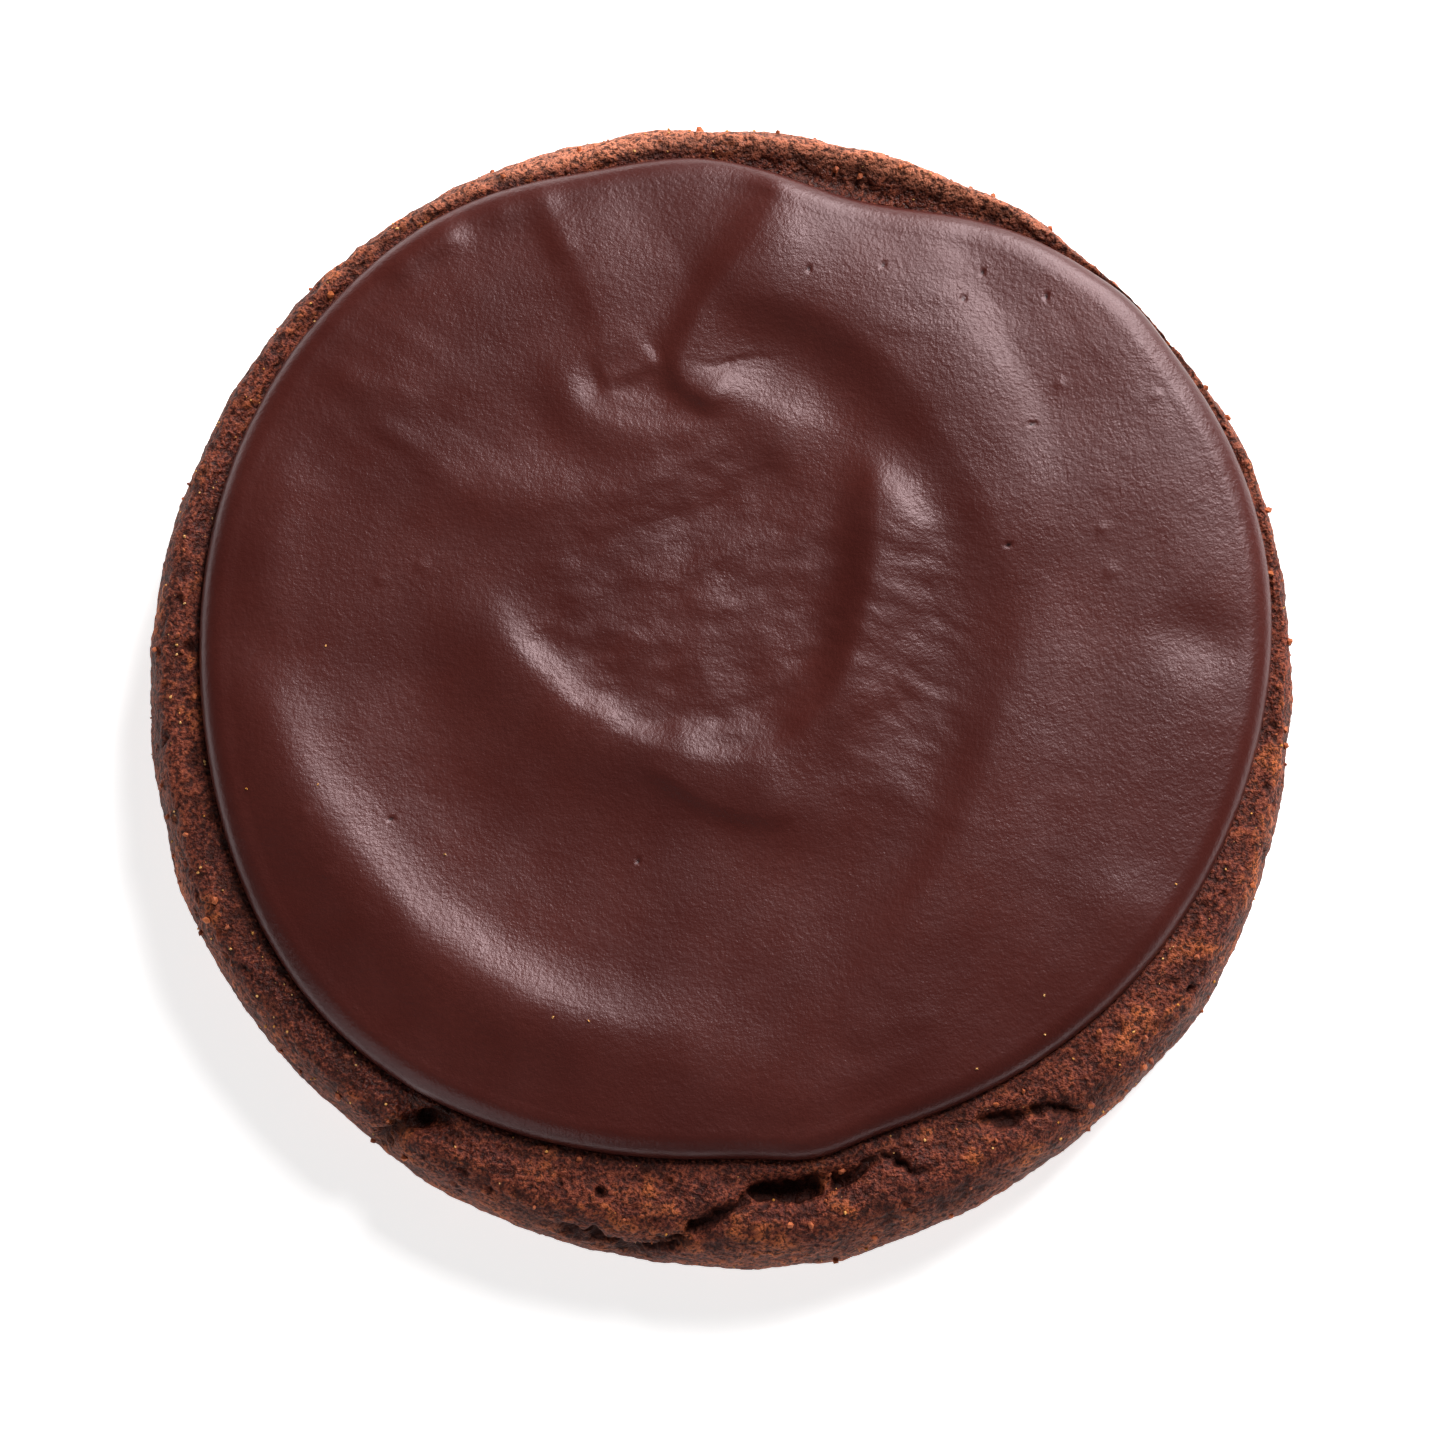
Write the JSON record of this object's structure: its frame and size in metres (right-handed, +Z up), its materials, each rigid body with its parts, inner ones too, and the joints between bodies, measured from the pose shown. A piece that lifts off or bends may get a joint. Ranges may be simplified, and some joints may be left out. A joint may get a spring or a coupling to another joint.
{
  "type": "mocha cookie",
  "caption": "Thick round chocolate cookie with a cracked brown rim under a smooth, spoon-swirled layer of mocha icing.",
  "frame": {"origin": "centre of the flat underside, at the middle of the bounding box", "axes": "+Z up, out of the iced top; seen from above, +X to the right and +Y away, as in the picture"},
  "size_m": [0.1005, 0.1011, 0.0164],
  "materials": {
    "cookie": "matte, baked crumb",
    "icing": "satin, smooth set icing"
  },
  "bodies": {
    "root": {"cookie": "cookie", "icing": "icing"}
  },
  "joints": []
}
